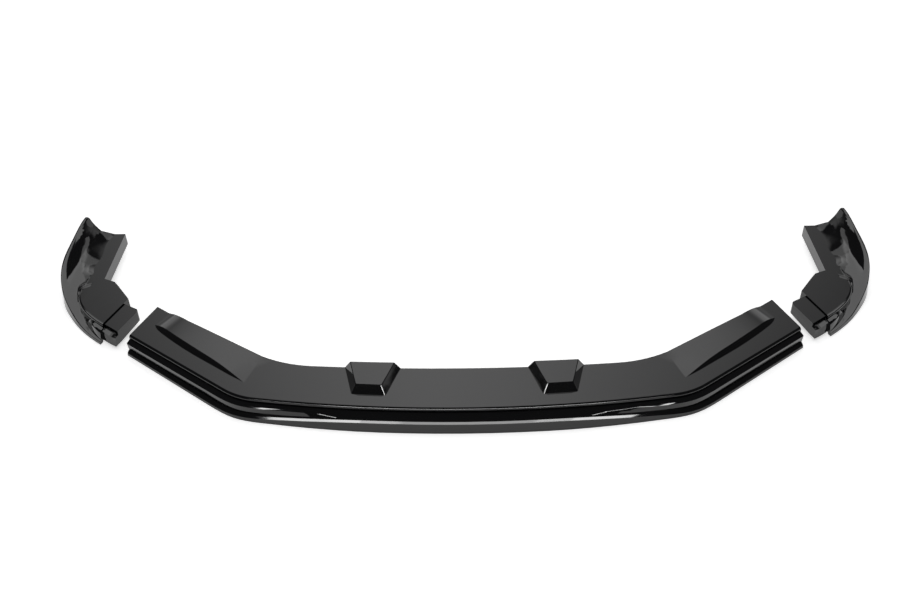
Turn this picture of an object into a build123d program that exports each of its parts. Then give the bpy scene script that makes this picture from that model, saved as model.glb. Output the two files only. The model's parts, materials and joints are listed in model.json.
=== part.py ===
"""Front splitter lip: a wide centre section and two mirrored corner pieces, laid out on the floor.

The lip lies as it would on a car, front towards -Y, with the two corner pieces drawn off the ends of
the centre section, so that their joint tongues lie in the open. Millimetres, +Z up. It is drawn with
the middle of its front edge at the origin, and moved at the end, so that the origin then lies on the
floor under the middle of the whole set.

Each moulding is an open shell: a filled body, less the same body moved inwards by the wall. Points
of an upright profile are (reach ahead, height), and points in a wing's or boss's own frame are
(along, behind).
"""
from build123d import *
from math import asin, cos, degrees, hypot, radians, sin
import os

# Walls and heights that all three mouldings share
wall = 3.0
deck_height = 46.0
deck_edge_radius = 5.5
deck_wall_ahead = 4.5
fit_gap = 0.5

# Front edge of the deck in plan, from the middle outwards
front_reach = 31.5
middle_radius = 2950.0
bend_start = 435.0
bend_radius = 150.0
wing_sweep = 35.4
wing_length = 274.0

# Rear edge of the deck in plan, and the cut at the wing's end
middle_depth = 139.0
rear_middle_radius = 4600.0
rear_bend_start = 322.0
rear_bend_radius = 280.0
rear_sweep = 30.0
rear_straight = 182.0
end_cut_angle = 28.5
end_cut_length = 95.7

# Front profile at three places: shelf's edge, foot of the step, top and bottom of the chin
profile_middle = [(13.0, 30.6), (19.0, 28.0), (25.5, 25.5), (front_reach, 0.0)]
profile_bend = [(16.0, 33.0), (16.0, 12.0), (24.5, 9.3), (26.0, 0.0)]
profile_tip = [(15.5, 33.0), (13.5, 11.5), (20.0, 9.0), (21.5, 0.0)]
profile_eases = [1.8, 0, 3.0]
shelf_root_middle = 41.3
shelf_root_wing = 39.3
root_depth = 12.0
blend_from = 180.0
blend_to = 540.0

# Two hollow bosses that stand on the deck against its rear edge
boss_run = 200.0
boss_height = 18.0
boss_front_width = 54.0
boss_rear_width = 93.0
boss_behind = 42.3
boss_length = 64.0
boss_draft_run = 12.0
boss_corner_radius = 5.0
boss_edge_ease = 1.2

# Raised rear part of each wing, as stations (along from the wing's end, foot behind the deck's edge,
# ridge behind the foot, height of the ridge, height at the rear); it rises out of the deck at its ends
blister_stations = [
    (14.0, 37.0, 16.0, -0.6, -0.6),
    (36.0, 36.0, 16.0, 4.0, 4.5),
    (58.0, 35.0, 16.0, 9.2, 10.0),
    (82.0, 33.2, 15.4, 10.6, 10.4),
    (115.0, 30.5, 16.0, 10.8, 8.4),
    (150.0, 29.0, 16.0, 10.4, 6.4),
    (190.0, 29.0, 15.0, 9.4, 4.2),
    (230.0, 29.6, 12.6, 7.6, 2.2),
    (268.0, 30.4, 8.6, 4.2, 0.6),
    (306.0, 31.2, 4.0, -0.6, -0.8),
]
blister_behind = 126.0

# Corner pieces: how far each is drawn off, and the line of its outer edge on the floor
drawn_off = 74.0
corner_front_radius = 326.0
corner_front_turn = 27.9
corner_middle_radius = 158.0
corner_middle_turn = 40.0
corner_rear_radius = 580.0
set_length = 576.0

# Corner plate behind the joint step: its edge as (behind, outside) from the step, then the arm
step_length = 86.0
shoulder = [(107.5, 45.5), (114.5, 62.0), (111.5, 88.5)]
arm_heading = 97.1
flange_height = 31.0

# Joint tongue on each corner piece, under the end of the wing when fitted
tongue_length = 41.0
tongue_rear_inset = 15.0
tongue_corner_radius = 8.0
tongue_front_low = 8.0

# Corner sections at a run along the outer edge: the inset of the deck's edge there, then the shelf,
# the bank under it, the terrace, the rim and the top of the outer wall, each as (inset, height)
corner_stations = [
    (0.0, 24.2, (20.0, 35.5), (9.5, 33.0), (5.0, 10.2), (3.8, 9.5), (2.6, 9.2), (1.0, 8.8)),
    (43.0, 24.3, (19.8, 35.0), (15.3, 33.5), (11.0, 12.0), (8.0, 11.2), (5.0, 10.6), (2.0, 10.0)),
    (86.0, 26.2, (33.0, 20.0), (29.0, 18.5), (18.5, 17.5), (13.0, 17.0), (8.0, 16.2), (3.0, 15.0)),
    (125.0, 35.5, (46.0, 37.0), (34.0, 36.0), (26.0, 28.0), (15.5, 27.0), (10.0, 26.2), (4.0, 24.5)),
    (167.0, 62.0, (72.0, 42.5), (59.5, 43.0), (40.0, 39.3), (20.0, 38.8), (13.0, 39.0), (5.0, 37.0)),
    (206.0, 72.0, (90.0, 43.0), (80.0, 46.1), (48.5, 47.2), (28.5, 47.4), (16.5, 51.0), (6.5, 49.5)),
    (233.0, 68.0, (90.0, 42.0), (79.0, 46.0), (53.0, 51.5), (36.5, 52.0), (17.0, 60.5), (7.5, 59.5)),
    (275.0, 60.0, (88.5, 42.5), (77.5, 46.0), (51.0, 57.5), (38.0, 59.0), (18.0, 73.5), (9.0, 72.5)),
    (322.0, 52.0, (85.0, 42.5), (73.0, 46.0), (46.0, 58.5), (33.0, 68.0), (19.0, 88.5), (10.5, 87.5)),
    (357.0, 47.5, (79.0, 42.0), (65.0, 46.0), (40.0, 57.0), (28.5, 76.0), (19.5, 99.0), (11.0, 98.0)),
]
corner_eases = [0, 4.0, 0, 4.0, 3.0, 2.2]

# Shortest leg of an inset profile, and how far cutting bodies pass what they cut
least_leg = 0.3
past = 60.0
below = 10.0


def edge_walk(start, heading, runs):
    """Gives point and heading at a run along a plan line, drawn as a list of (length, radius)."""
    def at(run):
        x, y = start
        angle = radians(heading)
        left = run
        for number, (length, radius) in enumerate(runs):
            part = left if number == len(runs) - 1 else min(left, length)
            if radius is None or left < 0:
                x, y = x + part * cos(angle), y + part * sin(angle)
            else:
                turned = angle + part / radius
                x += radius * (sin(turned) - sin(angle))
                y += radius * (cos(angle) - cos(turned))
                angle = turned
            left -= part
            if left <= 0:
                break
        return x, y, angle
    return at


def beside(place, along, behind):
    """A plan point in the frame of a place on an edge walk: along it, and behind it."""
    x, y, angle = place
    return (x + along * cos(angle) - behind * sin(angle), y + along * sin(angle) + behind * cos(angle))


def mixed(a, b, share):
    """Points between two lists of points."""
    return [(p[0] + (q[0] - p[0]) * share, p[1] + (q[1] - p[1]) * share) for p, q in zip(a, b)]


def inset(points, distance):
    """A closed clockwise outline with each side moved inwards."""
    moved = []
    for number, (x, y) in enumerate(points):
        x0, y0 = points[number - 1]
        x1, y1 = points[(number + 1) % len(points)]
        a, b = hypot(x - x0, y - y0), hypot(x1 - x, y1 - y)
        n0 = ((y - y0) / a, (x0 - x) / a)
        n1 = ((y1 - y) / b, (x - x1) / b)
        share = distance / (1 + n0[0] * n1[0] + n0[1] * n1[1])
        moved.append((x + share * (n0[0] + n1[0]), y + share * (n0[1] + n1[1])))
    return moved


def eased_face(points, eases):
    """A closed profile whose corners are cut off by short flats; an ease of 0 leaves a sharp corner."""
    outline = []
    for number, (x, y) in enumerate(points):
        x0, y0 = points[number - 1]
        x1, y1 = points[(number + 1) % len(points)]
        a, b = hypot(x0 - x, y0 - y), hypot(x1 - x, y1 - y)
        back = min(eases[number], 0.45 * a, 0.45 * b)
        if back > 0:
            outline.append((x + (x0 - x) * back / a, y + (y0 - y) * back / a))
        outline.append((x + (x1 - x) * back / b, y + (y1 - y) * back / b))
    return polygon(*outline)


def section(place, points, eases):
    """A profile set upright across an edge walk."""
    x, y, angle = place
    across = Plane(origin=(x, y, 0), x_dir=(sin(angle), -cos(angle), 0),
                   z_dir=(-cos(angle), -sin(angle), 0))
    return across * eased_face(points, eases)


def polygon(*points):
    return make_face(Polyline(*points, close=True))


def upright(plan, low, high):
    """A plan face as a solid between two heights."""
    return Pos(0, 0, low) * extrude(plan, high - low)


def both_sides(shape):
    return shape + mirror(shape, about=Plane.YZ)


def one_solid(shape):
    return max(shape.solids(), key=lambda solid: solid.volume)


# Places along the front edge of the centre section
bend_heading = degrees(asin(bend_start / middle_radius))
middle_run = middle_radius * radians(bend_heading)
bend_run = bend_radius * radians(wing_sweep - bend_heading)
wing_run = middle_run + bend_run + wing_length
lip_edge = edge_walk((0, front_reach), 0,
                     [(middle_run, middle_radius), (bend_run, bend_radius), (wing_length, None)])
wing_end = lip_edge(wing_run)
cut = radians(end_cut_angle)


def from_cut(origin, behind, outside):
    """A plan point in the frame of an end cut: behind along the cut, and outside square to it."""
    return (origin[0] - behind * sin(cut) + outside * cos(cut),
            origin[1] + behind * cos(cut) + outside * sin(cut))


def deck_plan(inside):
    """The centre section from above: its rear edge moved inwards, its ends, and room in front."""
    turn = degrees(asin(rear_bend_start / rear_middle_radius))
    middle = JernArc(start=(0, middle_depth - inside), tangent=(1, 0),
                     radius=rear_middle_radius + inside, arc_size=turn)
    bend = JernArc(start=middle @ 1, tangent=middle % 1, radius=rear_bend_radius + inside,
                   arc_size=rear_sweep - turn)
    straight = Line(bend @ 1, bend @ 1 + (bend % 1) * rear_straight)
    ahead = from_cut(wing_end, -past, 0)
    corners = [straight @ 1, from_cut(wing_end, end_cut_length - inside, 0), ahead,
               (ahead[0], -past), (0, -past), (0, middle_depth - inside)]
    half = make_face([middle, bend, straight] + [Line(a, b) for a, b in zip(corners, corners[1:])])
    return both_sides(half)


def deck_block(depth):
    """The filled body under the deck, moved inwards by a depth, open-ended at the rear."""
    ahead = deck_wall_ahead - depth
    middle = JernArc(start=(0, front_reach - ahead), tangent=(1, 0), radius=middle_radius + ahead,
                     arc_size=bend_heading)
    bend = JernArc(start=middle @ 1, tangent=middle % 1, radius=bend_radius + ahead,
                   arc_size=wing_sweep - bend_heading)
    wing = Line(bend @ 1, bend @ 1 + (bend % 1) * (wing_length + past))
    rear = wing_end[1] + end_cut_length + 2 * past
    corners = [wing @ 1, ((wing @ 1).X, rear), (0, rear), (0, front_reach - ahead)]
    half = make_face([middle, bend, wing] + [Line(a, b) for a, b in zip(corners, corners[1:])])
    top = deck_height - depth
    block = upright(both_sides(half), -below, top)
    if depth < wall:
        rim = [edge for edge in block.edges().filter_by_position(Axis.Z, top, top)
               if edge.center().Y < wing_end[1]]
        block = fillet(rim, deck_edge_radius)
    return block


def lip_profile(run, depth):
    """The front moulding's profile at a run from the middle, moved inwards by a depth."""
    share = min(max((run - blend_from) / (blend_to - blend_from), 0), 1)
    share = share * share * (3 - 2 * share)
    to_tip = min(max((run - blend_to) / (wing_run - blend_to), 0), 1)
    points = mixed(mixed(profile_middle, profile_bend, share), profile_tip, to_tip)
    root = shelf_root_middle + (shelf_root_wing - shelf_root_middle) * share
    (u3, z3), (u4, z4) = points[2:]
    foot = (u4 + (u4 - u3) * below / (z3 - z4), -below)
    return inset([(-root_depth, root)] + points[:3] + [foot, (-root_depth, -below)], depth)


def lip_moulding(depth):
    """The filled front moulding of the centre section, moved inwards by a depth."""
    bend = [middle_run + bend_run * share for share in (-1, -0.5, 0, 0.5, 1, 1.5)]
    wing = [wing_run + past - step * (wing_run + past - bend[-1]) / 5 for step in (4, 3, 2, 1, 0)]
    runs = [0, 110, 210, 300] + bend + wing
    eases = [0] + [ease if depth < wall else 0 for ease in profile_eases] + [0, 0]
    faces = []
    for run in [-r for r in reversed(runs[1:])] + runs:
        x, y, angle = lip_edge(abs(run))
        place = (x, y, angle) if run >= 0 else (-x, y, -angle)
        faces.append(section(place, lip_profile(abs(run), depth), eases))
    return loft(faces)


def boss_block(depth):
    """One filled boss, the right one, moved inwards by a depth; its rear is trimmed with the deck."""
    place = lip_edge(boss_run)
    spread = (boss_rear_width - boss_front_width) / 2 / boss_length
    half_front = boss_front_width / 2
    half_rear = half_front + spread * (boss_length + past)
    rear = boss_behind + boss_length + past
    top = [beside(place, *p) for p in
           ((-half_front, boss_behind), (-half_rear, rear), (half_rear, rear), (half_front, boss_behind))]
    base = inset(top, -boss_draft_run)
    low = Pos(0, 0, deck_height - depth) * polygon(*inset(base, depth))
    high = Pos(0, 0, deck_height + boss_height - depth) * polygon(*inset(top, depth))
    block = loft([low, high])
    if depth < wall:
        front = block.edges().filter_by(lambda edge: abs(edge.tangent_at(0.5).Z) > 0.2)
        block = fillet(front.sort_by(Axis.Y)[:2], boss_corner_radius)
        edges = block.faces().sort_by(Axis.Z)[-1].edges()
        block = chamfer(edges.sort_by(Axis.Y)[:-1], boss_edge_ease)
    return block


def blister_block(depth):
    """The filled raised part of the right wing, moved down by a depth."""
    x, y, angle = wing_end
    faces = []
    for along, foot, ridge, height, rear_height in blister_stations:
        slope = (height + below) * ridge / (height + below / 2)
        points = [(foot + ridge - slope, -below), (foot + ridge, height), (blister_behind, rear_height),
                  (blister_behind, -below)]
        place = Plane(origin=(*beside(wing_end, -along, 0), deck_height - depth),
                      x_dir=(-sin(angle), cos(angle), 0), z_dir=(cos(angle), sin(angle), 0))
        faces.append(place * polygon(*points))
    return loft(faces)


def centre_section():
    """The wide middle moulding."""
    raised = both_sides(boss_block(0)) + both_sides(blister_block(0))
    outer = (deck_block(0) + lip_moulding(0) + raised) & upright(deck_plan(0), 0, 2 * deck_height)
    hollow_boss = boss_block(wall) & upright(deck_plan(wall), 0, 2 * deck_height)
    hollow = deck_block(wall) + lip_moulding(wall) + both_sides(hollow_boss) + both_sides(blister_block(wall))
    return one_solid(outer - hollow)


# The right corner piece: its joint step's front end, and its outer edge on the floor
step = from_cut(wing_end, 0, drawn_off)
outer_start = beside((*step, wing_end[2]), 0, -corner_stations[0][1])
corner_edge = edge_walk(outer_start, wing_sweep,
                        [(corner_front_radius * radians(corner_front_turn), corner_front_radius),
                         (corner_middle_radius * radians(corner_middle_turn), corner_middle_radius),
                         (set_length, corner_rear_radius)])
knee = from_cut(step, *shoulder[-1])
tongue_behind = step_length - tongue_rear_inset


def corner_block(depth):
    """The filled body under the corner plate, moved inwards by a depth, open-ended inboard."""
    ends = [beside(corner_edge(run), 0, deck_inset - deck_wall_ahead + depth)
            for run, deck_inset, *_ in corner_stations]
    headings = [corner_edge(corner_stations[n][0])[2] for n in (0, -1)]
    far = beside((*ends[0], headings[0]), -2 * past, 0)
    edge = Spline(*ends, tangents=[(cos(angle), sin(angle)) for angle in headings])
    corners = [ends[-1], (ends[-1][0], set_length + past), (far[0] - past, set_length + past), far]
    plan = make_face([Line(far, ends[0]), edge] + [Line(a, b) for a, b in zip(corners, corners[1:])])
    top = deck_height - depth
    block = upright(plan, -below, top)
    if depth < wall:
        rim = [e for e in block.edges().filter_by_position(Axis.Z, top, top)
               if e.geom_type == GeomType.BSPLINE or e.center().Y < step[1]]
        block = fillet(rim, deck_edge_radius)
    return block


def corner_rim(depth):
    """The filled outer moulding of the corner piece, moved inwards by a depth, run on at both ends."""
    first, last = corner_stations[0], corner_stations[-1]
    ahead = [(-share * past, *first[1:]) for share in (2, 1.4, 0.7)]
    behind = [(last[0] + share * past, *last[1:]) for share in (0.5, 1)]
    eases = [0] + [ease if depth < wall else 0 for ease in corner_eases] + [0, 0]
    faces = []
    for run, _, *points in ahead + corner_stations + behind:
        line = [(-away, height) for away, height in points]
        root = (line[0][0] - root_depth, line[0][1])
        foot = (-line[-1][0] * below / line[-1][1], -below)
        profile = inset([root] + line + [foot, (root[0], -below)], depth)
        for number in reversed(range(1, len(line))):
            u, z = profile[number]
            profile[number] = (min(u, profile[number + 1][0] - least_leg), z)
        faces.append(section(corner_edge(run), profile, eases))
    return loft(faces)


def corner_body(depth):
    return corner_block(depth) + corner_rim(depth)


def arm_point(forward, outboard):
    """A plan point in the frame of the arm's straight inner edge, from the knee."""
    angle = radians(arm_heading)
    return (knee[0] + forward * cos(angle) + outboard * sin(angle),
            knee[1] + forward * sin(angle) - outboard * cos(angle))


def corner_plan():
    """The plate and rim from above: step line, shoulder, arm and rear cut, with room outboard."""
    arm_run = (set_length - knee[1]) / sin(radians(arm_heading))
    outboard = knee[0] + 4 * past
    front = from_cut(step, -past, 0)
    return polygon(front, from_cut(step, step_length, 0), *[from_cut(step, *p) for p in shoulder],
                   arm_point(arm_run, 0), (outboard, set_length), (outboard, front[1]))


def plate_outline(depth):
    """The same outline moved inwards by a depth, run on past the rear cut."""
    outboard = knee[0] + 4 * past
    return inset([from_cut(step, -2 * past, 0), from_cut(step, step_length, 0)]
                 + [from_cut(step, *p) for p in shoulder]
                 + [arm_point(set_length, 0), (outboard, 2 * set_length), (outboard, step[1] - 2 * past)],
                 depth)


def tongue_plan(depth):
    """The tongue from above, moved inwards by a depth at its end and rear, with its corner rounded."""
    end, rear, foot = depth - tongue_length, tongue_behind - depth, wall + depth
    plan = polygon(*[from_cut(step, *p) for p in ((-past, end), (rear, end), (rear, foot), (-past, foot))])
    corner = Vector(*from_cut(step, rear, end))
    return fillet(plan.vertices().sort_by_distance(corner)[0], tongue_corner_radius - depth)


def under_tongue():
    """What is cut away under the tongue's walls, rising from its front to its rear."""
    side = Plane(origin=(*step, 0), x_dir=(-sin(cut), cos(cut), 0), z_dir=(cos(cut), sin(cut), 0))
    rear_low = deck_height - flange_height
    outline = polygon((-past, -below), (-past, tongue_front_low), (0, tongue_front_low),
                      (tongue_behind, rear_low), (step_length + past, rear_low), (step_length + past, -below))
    return extrude(side * outline, -tongue_length - past)


def under_flange():
    """What is cut away under the flange along the plate's inner edges, behind the tongue."""
    clear = wall + fit_gap
    outline = polygon(from_cut(step, tongue_behind, clear), *plate_outline(clear)[1:-2],
                      arm_point(set_length, -past), from_cut(step, tongue_behind, -past))
    return upright(outline, -below, deck_height - flange_height)


def corner_piece():
    """The right corner piece: plate, arm and rim in one shell, with the joggled tongue at its step."""
    drop = wall + fit_gap
    high = 3 * deck_height
    behind_wing = Pos(*beside((0, 0, wing_end[2]), 0, corner_stations[0][1] - profile_tip[-1][0]))
    outer = corner_body(0) & upright(corner_plan(), 0, high)
    outer += behind_wing * corner_body(drop) & upright(tongue_plan(0), 0, high)
    inside = corner_body(wall) & upright(polygon(*plate_outline(wall)), -below, high)
    inside_tongue = behind_wing * corner_body(drop + wall) & upright(tongue_plan(wall), -below, high)
    return one_solid(outer - inside - inside_tongue - under_tongue() - under_flange())


def main():
    os.makedirs("parts", exist_ok=True)
    corner = corner_piece()
    shapes = {"centre_section": centre_section(), "corner_right": corner,
              "corner_left": mirror(corner, about=Plane.YZ)}
    for name, shape in shapes.items():
        export_step(Pos(0, -set_length / 2, 0) * shape, f"parts/{name}.step")


if __name__ == "__main__":
    main()
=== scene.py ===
"""Front splitter lip in gloss black: a centre section and two corner pieces, laid out on a white floor.

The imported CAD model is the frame. Each moulding here is a worked-over copy of its CAD node, welded and
given even shading, in metres, in the same place as its node.
"""
import json
from math import pi, radians

import bpy
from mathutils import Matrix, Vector

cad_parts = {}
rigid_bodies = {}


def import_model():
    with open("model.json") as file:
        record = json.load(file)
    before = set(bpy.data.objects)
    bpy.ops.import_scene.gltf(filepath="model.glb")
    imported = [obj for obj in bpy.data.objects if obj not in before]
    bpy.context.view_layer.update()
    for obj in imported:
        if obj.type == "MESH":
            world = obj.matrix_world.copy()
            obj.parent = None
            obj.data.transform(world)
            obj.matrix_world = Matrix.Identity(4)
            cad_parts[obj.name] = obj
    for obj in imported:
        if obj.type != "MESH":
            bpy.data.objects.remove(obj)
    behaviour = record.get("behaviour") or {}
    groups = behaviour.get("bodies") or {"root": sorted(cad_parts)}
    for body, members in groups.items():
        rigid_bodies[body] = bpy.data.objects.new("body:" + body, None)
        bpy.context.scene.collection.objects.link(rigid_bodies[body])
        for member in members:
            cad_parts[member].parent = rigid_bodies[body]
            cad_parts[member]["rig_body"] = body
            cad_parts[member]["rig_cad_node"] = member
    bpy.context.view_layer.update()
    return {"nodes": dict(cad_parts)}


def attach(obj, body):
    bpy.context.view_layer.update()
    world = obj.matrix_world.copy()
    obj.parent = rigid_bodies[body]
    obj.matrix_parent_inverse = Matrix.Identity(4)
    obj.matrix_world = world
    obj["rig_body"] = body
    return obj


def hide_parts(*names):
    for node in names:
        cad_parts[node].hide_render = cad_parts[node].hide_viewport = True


bl_info = {
    "name": "Front splitter lip",
    "version": (1, 0, 0),
    "blender": (4, 5, 0),
    "location": "View3D > Sidebar > Splitter lip",
    "description": "Builds a three-piece front splitter lip and the studio it is shown in",
    "category": "Object",
}

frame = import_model()
GLOSS_NAME = "gloss_black_plastic"
SIDES = {"left": -1, "right": 1}

# Upward part of a face's normal: above LEVEL the face lies level, below STEEP it stands.
LEVEL = 0.9995
STEEP = 0.5
FACET_TURN = radians(30)

# Sockets of a colour Mix node, whose names are shared with its other kinds.
MIX_FIRST, MIX_SECOND, MIX_RESULT = 6, 7, 2

LAMP_HEIGHT = 2.05
FILL_HEIGHT = 4
FLOOR_CENTRE = (0, 0.6, 0)
FLOOR_SIZE = (6, 3.4, 1)
CAMERA_PLACE = (0.02129, -1.95210, 2.03267)
CAMERA_TILT = (radians(44.9928), radians(0.9084), radians(-0.0379))


class LipFinish(bpy.types.PropertyGroup):
    """Sizes and colours of the mouldings' finish."""
    plastic_colour: bpy.props.FloatVectorProperty(
        name="Plastic colour", description="Colour of the moulded plastic under its gloss",
        default=(0.0035, 0.0035, 0.0042), size=3, subtype="COLOR", min=0, max=1)
    dust_colour: bpy.props.FloatVectorProperty(
        name="Dust colour", description="Colour of the fine dust that lies on the gloss",
        default=(0.05, 0.05, 0.048), size=3, subtype="COLOR", min=0, max=1)
    gloss_roughness: bpy.props.FloatProperty(
        name="Gloss roughness", description="Roughness of a clean part of the surface",
        default=0.035, min=0, max=1)
    haze_roughness: bpy.props.FloatProperty(
        name="Haze roughness", description="Roughness where hands have wiped the gloss",
        default=0.085, min=0, max=1)
    ripple_width: bpy.props.FloatProperty(
        name="Ripple width", description="Width of one slow wave in the moulded faces",
        default=0.07, unit="LENGTH", min=0.001)
    ripple_height: bpy.props.FloatProperty(
        name="Ripple height", description="Height of the slow waves in the moulded faces",
        default=0.00006, unit="LENGTH", min=0)
    weld: bpy.props.FloatProperty(
        name="Weld distance", description="Points nearer than this become one",
        default=0.00002, unit="LENGTH", min=0)
    smooth_angle: bpy.props.FloatProperty(
        name="Smooth angle", description="Faces that turn less than this shade as one",
        default=radians(16), subtype="ANGLE", min=0)
    crease_angle: bpy.props.FloatProperty(
        name="Crease angle", description="Faces beside a level face stand apart from it beyond this turn",
        default=radians(7), subtype="ANGLE", min=0)
    even_rounds: bpy.props.IntProperty(
        name="Evening rounds", description="How often the shading of the corner pieces' curves is evened out",
        default=1, min=0)


class LipStudio(bpy.types.PropertyGroup):
    """Brightness of the studio's surfaces, where 1 is white paper."""
    rear_screen: bpy.props.FloatProperty(
        name="Rear screen", description="Brightness of the pale screen behind and above the lip",
        default=1.9, min=0)
    side_screens: bpy.props.FloatProperty(
        name="Side screens", description="Brightness of the two soft screens behind and beside the lip",
        default=1.5, min=0)
    far_wall: bpy.props.FloatProperty(
        name="Far wall", description="Brightness of the wall low down behind the lip",
        default=0.8, min=0)
    room: bpy.props.FloatProperty(
        name="Room", description="Brightness of the rest of the room",
        default=0.07, min=0)
    floor_glow: bpy.props.FloatProperty(
        name="Floor glow", description="How much the white floor shines by itself",
        default=0.62, min=0, max=1)


def only(obj):
    """Selects one object and nothing else."""
    bpy.ops.object.select_all(action="DESELECT")
    obj.select_set(True)
    bpy.context.view_layer.objects.active = obj


def apply_modifier(obj, name, kind, **settings):
    """Gives an object a modifier with these settings and makes its result the mesh."""
    modifier = obj.modifiers.new(name, kind)
    for key, value in settings.items():
        setattr(modifier, key, value)
    only(obj)
    bpy.ops.object.modifier_apply(modifier=name)


def crease_level_faces(piece, turn):
    """Keeps level faces flat in the gloss: their edges are sharp where the next face turns enough."""
    mesh = piece.data
    faces_at = {}
    for face in mesh.polygons:
        for key in face.edge_keys:
            faces_at.setdefault(key, []).append(face.normal)
    for edge in mesh.edges:
        first, second = faces_at[edge.key]
        if max(first.z, second.z) > LEVEL and first.angle(second) > turn:
            edge.use_edge_sharp = True


def even_curves(piece, rounds):
    """Evens out the shading over the curved upper faces, so that the gloss shows no facets."""
    mesh = piece.data
    curved = [face for face in mesh.polygons if STEEP < face.normal.z < LEVEL]
    normals = {}
    beside = {}
    for face in curved:
        for vertex in face.vertices:
            normals[vertex] = normals.get(vertex, Vector()) + face.normal * face.area
        for first, second in face.edge_keys:
            beside.setdefault(first, set()).add(second)
            beside.setdefault(second, set()).add(first)
    normals = {vertex: normal.normalized() for vertex, normal in normals.items()}
    for _ in range(rounds):
        normals = {vertex: (normal + sum((normals[near] for near in beside[vertex]), Vector())
                            / len(beside[vertex])).normalized()
                   for vertex, normal in normals.items()}
    shading = [Vector(corner.vector) for corner in mesh.corner_normals]
    for face in curved:
        for corner in face.loop_indices:
            evened = normals[mesh.loops[corner].vertex_index]
            if evened.angle(face.normal) < FACET_TURN:
                shading[corner] = evened
    mesh.normals_split_custom_set(shading)


def moulding(node, name):
    """A worked-over copy of a CAD node, which then stands for it."""
    finish = bpy.context.scene.lip_finish
    only(frame["nodes"][node])
    bpy.ops.object.duplicate()
    piece = bpy.context.active_object
    piece.name = piece.data.name = name
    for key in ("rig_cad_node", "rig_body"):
        del piece[key]
    bpy.ops.object.parent_clear(type="CLEAR_KEEP_TRANSFORM")
    bpy.ops.object.mode_set(mode="EDIT")
    bpy.ops.mesh.select_all(action="SELECT")
    bpy.ops.mesh.remove_doubles(threshold=finish.weld)
    bpy.ops.mesh.customdata_custom_splitnormals_clear()
    bpy.ops.object.mode_set(mode="OBJECT")
    only(piece)
    bpy.ops.object.shade_smooth_by_angle(angle=finish.smooth_angle)
    crease_level_faces(piece, finish.crease_angle)
    apply_modifier(piece, "even_shading", "WEIGHTED_NORMAL", keep_sharp=True, weight=60)
    piece.data.materials.clear()
    piece.data.materials.append(bpy.data.materials.get(GLOSS_NAME) or gloss_black())
    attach(piece, "root")
    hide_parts(node)
    return piece


def wire(tree, node_type, inputs=(), **settings):
    """Adds a shader node; an input that is a socket is linked, and any other is set as a value."""
    node = tree.nodes.new(node_type)
    for key, value in settings.items():
        setattr(node, key, value)
    for key, value in dict(inputs).items():
        if isinstance(value, bpy.types.NodeSocket):
            tree.links.new(value, node.inputs[key])
        else:
            node.inputs[key].default_value = value
    return node


def group(name, inputs, outputs):
    """An empty shader node group with named value inputs and outputs."""
    tree = bpy.data.node_groups.new(name, "ShaderNodeTree")
    for key, default in inputs.items():
        socket = tree.interface.new_socket(key, in_out="INPUT", socket_type="NodeSocketFloat")
        socket.default_value = default
    for key in outputs:
        tree.interface.new_socket(key, in_out="OUTPUT", socket_type="NodeSocketFloat")
    return tree, tree.nodes.new("NodeGroupInput"), tree.nodes.new("NodeGroupOutput")


def slow_waves():
    """Height of the slow waves that moulding leaves in a broad face, from 0 to 1."""
    tree, given, result = group("slow_waves", {"Width": 0.07}, ("Height",))
    place = wire(tree, "ShaderNodeTexCoord").outputs["Object"]
    often = wire(tree, "ShaderNodeMath", {0: 1.0, 1: given.outputs["Width"]}, operation="DIVIDE")
    waves = wire(tree, "ShaderNodeTexNoise",
                 {"Vector": place, "Scale": often.outputs[0], "Detail": 1.0, "Roughness": 0.4})
    tree.links.new(waves.outputs["Fac"], result.inputs["Height"])
    return tree


def handling_haze():
    """Where hands have wiped the gloss, and where fine dust has settled, each from 0 to 1."""
    tree, given, result = group("handling_haze", {"Patch size": 0.12, "Speck size": 0.0025},
                                ("Haze", "Dust"))
    place = wire(tree, "ShaderNodeTexCoord").outputs["Object"]
    patches = wire(tree, "ShaderNodeMath", {0: 1.0, 1: given.outputs["Patch size"]}, operation="DIVIDE")
    wiped = wire(tree, "ShaderNodeTexNoise",
                 {"Vector": place, "Scale": patches.outputs[0], "Detail": 5.0, "Distortion": 0.6})
    haze = wire(tree, "ShaderNodeMapRange",
                {"Value": wiped.outputs["Fac"], "From Min": 0.45, "From Max": 0.75})
    tree.links.new(haze.outputs["Result"], result.inputs["Haze"])
    grains = wire(tree, "ShaderNodeMath", {0: 1.0, 1: given.outputs["Speck size"]}, operation="DIVIDE")
    specks = wire(tree, "ShaderNodeTexVoronoi",
                  {"Vector": place, "Scale": grains.outputs[0], "Randomness": 1.0})
    grain = wire(tree, "ShaderNodeMapRange",
                 {"Value": specks.outputs["Distance"], "From Min": 0.14, "From Max": 0.06})
    settled = wire(tree, "ShaderNodeMapRange",
                   {"Value": wiped.outputs["Fac"], "From Min": 0.5, "From Max": 0.68})
    dust = wire(tree, "ShaderNodeMath",
                {0: grain.outputs["Result"], 1: settled.outputs["Result"]}, operation="MULTIPLY")
    tree.links.new(dust.outputs[0], result.inputs["Dust"])
    return tree


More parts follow.
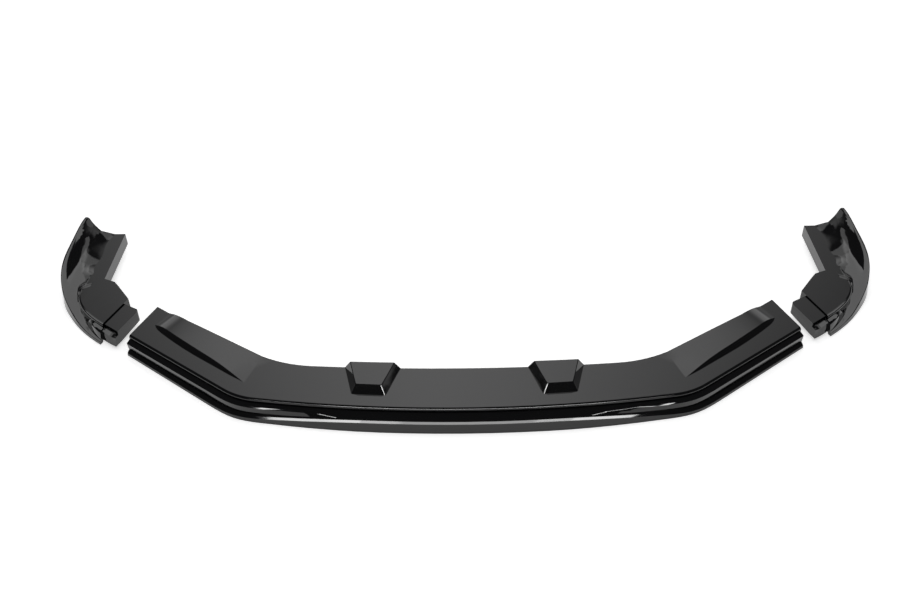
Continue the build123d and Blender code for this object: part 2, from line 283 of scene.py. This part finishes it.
def gloss_black():
    """Moulded black plastic with a deep gloss, faintly wavy, wiped and dusty."""
    finish = bpy.context.scene.lip_finish
    material = bpy.data.materials.new(GLOSS_NAME)
    material.use_nodes = True
    tree = material.node_tree
    shader = tree.nodes["Principled BSDF"]
    shader.inputs["IOR"].default_value = 1.5
    marks = wire(tree, "ShaderNodeGroup", node_tree=handling_haze())
    colour = wire(tree, "ShaderNodeMix", {"Factor": marks.outputs["Dust"]}, data_type="RGBA")
    colour.inputs[MIX_FIRST].default_value = (*finish.plastic_colour, 1)
    colour.inputs[MIX_SECOND].default_value = (*finish.dust_colour, 1)
    tree.links.new(colour.outputs[MIX_RESULT], shader.inputs["Base Color"])
    rough = wire(tree, "ShaderNodeMapRange", {"Value": marks.outputs["Haze"],
                                              "To Min": finish.gloss_roughness,
                                              "To Max": finish.haze_roughness})
    tree.links.new(rough.outputs["Result"], shader.inputs["Roughness"])
    waves = wire(tree, "ShaderNodeGroup", {"Width": finish.ripple_width}, node_tree=slow_waves())
    bump = wire(tree, "ShaderNodeBump", {"Height": waves.outputs["Height"], "Strength": 1.0,
                                         "Distance": finish.ripple_height})
    tree.links.new(bump.outputs["Normal"], shader.inputs["Normal"])
    return material


class LIP_OT_centre_section(bpy.types.Operator):
    """Builds the wide centre section of the lip"""
    bl_idname = "lip.centre_section"
    bl_label = "Centre section"

    def execute(self, context):
        moulding("centre_section", "lip_centre_section")
        return {"FINISHED"}


class LIP_OT_corner_pieces(bpy.types.Operator):
    """Builds the left and right corner pieces of the lip"""
    bl_idname = "lip.corner_pieces"
    bl_label = "Corner pieces"

    def execute(self, context):
        for side in SIDES:
            corner = moulding(f"corner_{side}", f"lip_corner_{side}")
            even_curves(corner, context.scene.lip_finish.even_rounds)
        return {"FINISHED"}


def softbox(name, place, size, radiance, height=LAMP_HEIGHT):
    """A softbox that hangs level over a place and shines evenly downwards."""
    width, depth = size
    data = bpy.data.lights.new(name, "AREA")
    data.shape = "RECTANGLE"
    data.size = width
    data.size_y = depth
    data.energy = radiance * pi * width * depth
    light = bpy.data.objects.new(name, data)
    bpy.context.scene.collection.objects.link(light)
    light.location = (*place, height)
    return light


def gloss_lamp(name, place, size, radiance, lit=None):
    """A softbox that only shows in the gloss, of every piece or of the lit ones alone."""
    light = softbox(name, place, size, radiance)
    light.visible_diffuse = False
    if lit:
        light.light_linking.receiver_collection = lit


def front_lamps():
    """Bars in front of the lip, which draw the bright lines along its chin and its deck's edge."""
    chin_row = -3.42
    chin_depth = 0.45
    inner_end = 1.1
    gloss_lamp("front_bar_low", place=(0, chin_row), size=(1.2, chin_depth), radiance=7.5)
    gloss_lamp("front_bar_high", place=(0, -4.3), size=(3.0, 1.0), radiance=24)
    for side, outer_end in (("left", 2.2), ("right", 1.85)):
        gloss_lamp("front_next_bar", place=(SIDES[side] * 0.85, chin_row), size=(0.5, chin_depth),
                   radiance=11.5)
        gloss_lamp("front_side_bar", place=(SIDES[side] * (inner_end + outer_end) / 2, chin_row),
                   size=(outer_end - inner_end, chin_depth), radiance=17)


def corner_lamps():
    """Softboxes over each corner piece, which leave its hollows dark and light nothing else."""
    for side, way in SIDES.items():
        corner = bpy.data.collections.new("lit_corner_" + side)
        corner.objects.link(bpy.data.objects["lip_corner_" + side])
        gloss_lamp("near_softbox", place=(way * 2.95, 0.225), size=(4.4, 1.45), radiance=2.3, lit=corner)
        gloss_lamp("front_bar", place=(-way * 1.75, -0.11), size=(5.0, 0.78), radiance=2.3, lit=corner)
        gloss_lamp("rear_bar", place=(-way * 0.675, 1.225), size=(6.65, 0.55), radiance=1.3, lit=corner)


def photo_camera():
    """The camera that saw the lip in the photograph."""
    data = bpy.data.cameras.new("photo_camera")
    data.lens = 50
    data.sensor_width = 36
    camera = bpy.data.objects.new("photo_camera", data)
    bpy.context.scene.collection.objects.link(camera)
    camera.location = CAMERA_PLACE
    camera.rotation_euler = CAMERA_TILT
    return camera


class LIP_OT_studio(bpy.types.Operator):
    """Sets up the floor, the lights, the world and the camera"""
    bl_idname = "lip.studio"
    bl_label = "Studio"

    def execute(self, context):
        bpy.ops.object.select_all(action="DESELECT")
        bpy.ops.mesh.primitive_plane_add(size=1, location=FLOOR_CENTRE)
        floor = context.active_object
        floor.name = floor.data.name = "studio_floor"
        floor.scale = FLOOR_SIZE
        bpy.ops.object.transform_apply(location=True, rotation=True, scale=True)
        floor.data.materials.append(white_floor())
        front_lamps()
        fill = softbox("fill_from_above", (0, 0.2), (5, 5), radiance=1.0, height=FILL_HEIGHT)
        fill.visible_glossy = False
        corner_lamps()
        studio_world()
        context.scene.camera = photo_camera()
        context.scene.view_settings.view_transform = "Standard"
        return {"FINISHED"}


def seen_mask(tree):
    """One where a ray comes from the camera, a gloss or a glass, else zero."""
    path = wire(tree, "ShaderNodeLightPath").outputs
    opaque = wire(tree, "ShaderNodeMath", {0: path["Is Camera Ray"], 1: path["Is Glossy Ray"]},
                  operation="MAXIMUM").outputs[0]
    return wire(tree, "ShaderNodeMath", {0: opaque, 1: path["Is Transmission Ray"]},
                operation="MAXIMUM").outputs[0]


def white_floor():
    """White paper that shows white and still takes the object's shadow."""
    material = bpy.data.materials.new("white_floor_paper")
    material.use_nodes = True
    tree = material.node_tree
    shader = tree.nodes["Principled BSDF"]
    shader.inputs["Base Color"].default_value = (0.9, 0.9, 0.9, 1)
    shader.inputs["Roughness"].default_value = 0.9
    shader.inputs["Emission Color"].default_value = (1, 1, 1, 1)
    glow = bpy.context.scene.lip_studio.floor_glow
    strength = wire(tree, "ShaderNodeMath", {0: seen_mask(tree), 1: glow}, operation="MULTIPLY")
    tree.links.new(strength.outputs[0], shader.inputs["Emission Strength"])
    return material


def studio_world():
    """A dim room with pale screens high behind the lip and beside them, and a pale wall low down."""
    studio = bpy.context.scene.lip_studio
    world = bpy.data.worlds.new("studio_world")
    world.use_nodes = True
    bpy.context.scene.world = world
    tree = world.node_tree
    way = wire(tree, "ShaderNodeTexCoord").outputs["Generated"]
    x, y, z = wire(tree, "ShaderNodeSeparateXYZ", {0: way}).outputs

    def between(value, dark, lit, darkest=0.0):
        """Rises smoothly to 1 on the way from the dark end to the lit one."""
        return wire(tree, "ShaderNodeMapRange",
                    {"Value": value, "From Min": dark, "From Max": lit, "To Min": darkest, "To Max": 1.0},
                    interpolation_type="SMOOTHSTEP").outputs["Result"]

    def math(operation, first, second):
        return wire(tree, "ShaderNodeMath", {0: first, 1: second}, operation=operation).outputs[0]

    def window(angle, low_dark, low_lit, high_lit, high_dark):
        """1 between the two lit angles, falling smoothly to 0 at the dark ones, all in degrees."""
        return math("MULTIPLY", between(angle, radians(low_dark), radians(low_lit)),
                    between(angle, radians(high_dark), radians(high_lit)))

    rise = math("ARCTAN2", z, y)
    turn = math("ARCTAN2", x, y)
    aside = wire(tree, "ShaderNodeMath", {0: turn}, operation="ABSOLUTE").outputs[0]

    edge_tone = 0.15
    fall_off = math("MULTIPLY", between(turn, radians(-32), radians(-2), edge_tone),
                    between(turn, radians(30), radians(-4), edge_tone))
    rear = math("MULTIPLY", window(rise, 14, 40, 56, 82),
                math("MULTIPLY", fall_off, window(turn, -29, -23.5, 23.5, 29)))
    sides = math("MULTIPLY", window(aside, 17, 29, 36, 48), window(rise, 14, 22, 32, 43))
    wall = math("MULTIPLY", between(z, 0.35, 0.1), between(y, 0.0, 0.4))

    strength = studio.room
    for shape, brightness in ((rear, studio.rear_screen), (sides, studio.side_screens),
                              (wall, studio.far_wall)):
        strength = math("ADD", math("MULTIPLY", shape, brightness), strength)
    background = tree.nodes["Background"]
    background.inputs["Color"].default_value = (1, 1, 1, 1)
    tree.links.new(strength, background.inputs["Strength"])


class LIP_PT_panel(bpy.types.Panel):
    """Lists the parts of the lip and its finish"""
    bl_idname = "LIP_PT_panel"
    bl_label = "Splitter lip"
    bl_space_type = "VIEW_3D"
    bl_region_type = "UI"
    bl_category = "Splitter lip"

    def draw(self, context):
        column = self.layout.column()
        for operator in OPERATORS:
            column.operator(operator.bl_idname)
        for values in (context.scene.lip_finish, context.scene.lip_studio):
            for key in values.__annotations__:
                column.prop(values, key)


OPERATORS = (LIP_OT_centre_section, LIP_OT_corner_pieces, LIP_OT_studio)
CLASSES = (LipFinish, LipStudio, *OPERATORS, LIP_PT_panel)


def register():
    for cls in CLASSES:
        bpy.utils.register_class(cls)
    bpy.types.Scene.lip_finish = bpy.props.PointerProperty(type=LipFinish)
    bpy.types.Scene.lip_studio = bpy.props.PointerProperty(type=LipStudio)


def unregister():
    del bpy.types.Scene.lip_studio
    del bpy.types.Scene.lip_finish
    for cls in reversed(CLASSES):
        bpy.utils.unregister_class(cls)


def main():
    register()
    bpy.ops.lip.centre_section()
    bpy.ops.lip.corner_pieces()
    bpy.ops.lip.studio()


if __name__ == "__main__":
    main()
